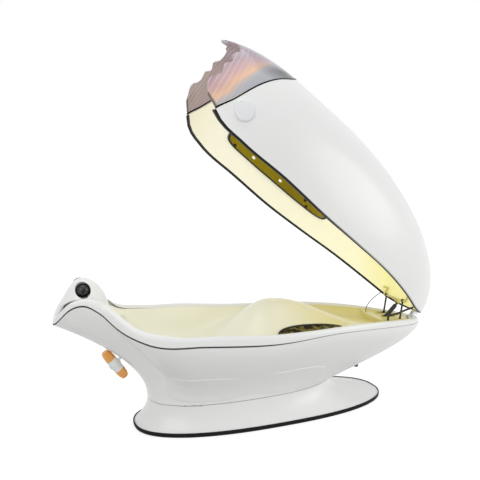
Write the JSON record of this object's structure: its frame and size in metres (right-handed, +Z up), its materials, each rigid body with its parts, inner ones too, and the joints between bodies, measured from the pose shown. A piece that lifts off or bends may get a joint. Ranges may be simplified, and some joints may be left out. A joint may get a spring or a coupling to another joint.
{
  "type": "infrared wellness pod",
  "caption": "Boat-shaped lie-down heated pod on a waisted pedestal, with a foot-hinged clam-shell lid, translucent hood and air vents at the head.",
  "frame": {"origin": "middle of the floor outline, on the floor", "axes": "+X from the head end to the foot end, +Z up; the lid stands open as far as it goes"},
  "size_m": [2.4373, 0.81, 2.1774],
  "materials": {
    "white": "gloss",
    "cream": "satin",
    "pad": "soft",
    "rubber": "matte",
    "black": "satin",
    "amber": "gloss",
    "hood": "translucent",
    "steel": "brushed",
    "orange": "gloss"
  },
  "bodies": {
    "pod": {"actuator_boot": "cream", "base_plinth": "white", "cartridge_bracket": "white", "cartridge_cap_lower": "orange", "cartridge_cap_upper": "orange", "cartridge_tube": "white", "control_box": "black", "deck_rim": "white", "drain_plug": "black", "fan_housing": "black", "floor_trim": "rubber", "foot_bracket": "steel", "foot_deck": "cream", "head_console": "white", "headrest_pillow": "pad", "hinge_bracket": "steel", "hinge_pin": "steel", "hull_gasket": "rubber", "leg_heater_far_frame": "black", "leg_heater_far_plate": "amber", "leg_heater_near_frame": "black", "leg_heater_near_plate": "amber", "levelling_foot_1": "rubber", "levelling_foot_2": "rubber", "levelling_foot_3": "rubber", "levelling_foot_4": "rubber", "lid_cable_conduit": "black", "lower_hull": "white", "pedestal_frame": "steel", "sensor_lead": "steel", "side_panel_far": "white", "side_panel_near": "white", "strut_boot_far": "cream", "strut_boot_near": "cream", "tub_liner": "cream", "vent_bezel_far": "black", "vent_bezel_near": "black"},
    "lid": {"lid_shell": "white", "lid_liner": "cream", "lid_rim_band": "white", "lid_seal": "rubber", "hood": "hood", "hood_trim": "rubber", "side_cap_near": "white", "side_cap_far": "white", "lid_heater_near_frame": "black", "lid_heater_near_plate": "amber", "lid_heater_far_frame": "black", "lid_heater_far_plate": "amber", "hinge_leaf": "steel", "lid_crossbar": "black"},
    "strut_rod_near": {"strut_rod_near": "black"},
    "strut_rod_far": {"strut_rod_far": "black"},
    "strut_cylinder_near": {"strut_cylinder_near": "black"},
    "strut_cylinder_far": {"strut_cylinder_far": "black"},
    "actuator_ram": {"actuator_ram": "black"},
    "actuator_body": {"actuator_body": "black"},
    "vent_ball_near": {"vent_ball_near": "black"},
    "vent_ball_far": {"vent_ball_far": "black"},
    "fan_rotor": {"fan_rotor": "black"}
  },
  "joints": [
    {"name": "lid_hinge", "type": "hinge", "parent": "pod", "child": "lid", "pos_m": [1.075, 0, 0.44], "axis": [0, -1, 0], "range_deg": [0, 34.6], "deforming": ["lid_cable_conduit", "sensor_lead"]},
    {"name": "strut_pivot_near", "type": "hinge", "parent": "lid", "child": "strut_rod_near", "pos_m": [0.953, -0.09, 0.603], "axis": [0, -1, 0], "range_deg": [-10.4, 0]},
    {"name": "strut_slide_near", "type": "slide", "parent": "strut_rod_near", "child": "strut_cylinder_near", "axis": [0.1517, 0, 0.9884], "range_m": [0, 0.096]},
    {"name": "strut_pivot_far", "type": "hinge", "parent": "lid", "child": "strut_rod_far", "pos_m": [0.953, 0.09, 0.603], "axis": [0, -1, 0], "range_deg": [-10.4, 0]},
    {"name": "strut_slide_far", "type": "slide", "parent": "strut_rod_far", "child": "strut_cylinder_far", "axis": [0.1517, 0, 0.9884], "range_m": [0, 0.096]},
    {"name": "actuator_pivot", "type": "hinge", "parent": "lid", "child": "actuator_ram", "pos_m": [0.978, 0, 0.568], "axis": [0, -1, 0], "range_deg": [-40.95, 0]},
    {"name": "actuator_slide", "type": "slide", "parent": "actuator_ram", "child": "actuator_body", "axis": [0.7171, 0, 0.697], "range_m": [0, 0.0932]},
    {"name": "vent_swivel_near", "type": "hinge", "parent": "pod", "child": "vent_ball_near", "pos_m": [-1.072, -0.068, 0.838], "axis": [0, 0, 1], "range_deg": [-20, 20]},
    {"name": "vent_swivel_far", "type": "hinge", "parent": "pod", "child": "vent_ball_far", "pos_m": [-1.072, 0.068, 0.838], "axis": [0, 0, 1], "range_deg": [-20, 20]},
    {"name": "fan_spin", "type": "hinge", "parent": "pod", "child": "fan_rotor", "pos_m": [-1.02, 0, 0.828], "axis": [1, 0, 0], "continuous": true}
  ],
  "couplings": [
    {"joint": "strut_pivot_near", "follows": "lid_hinge", "ratio": -0.30028},
    {"joint": "strut_slide_near", "follows": "lid_hinge", "m_per_rad": 0.15878},
    {"joint": "strut_pivot_far", "follows": "lid_hinge", "ratio": -0.30028},
    {"joint": "strut_slide_far", "follows": "lid_hinge", "m_per_rad": 0.15878},
    {"joint": "actuator_pivot", "follows": "lid_hinge", "ratio": -1.1821},
    {"joint": "actuator_slide", "follows": "lid_hinge", "m_per_rad": 0.15408}
  ]
}
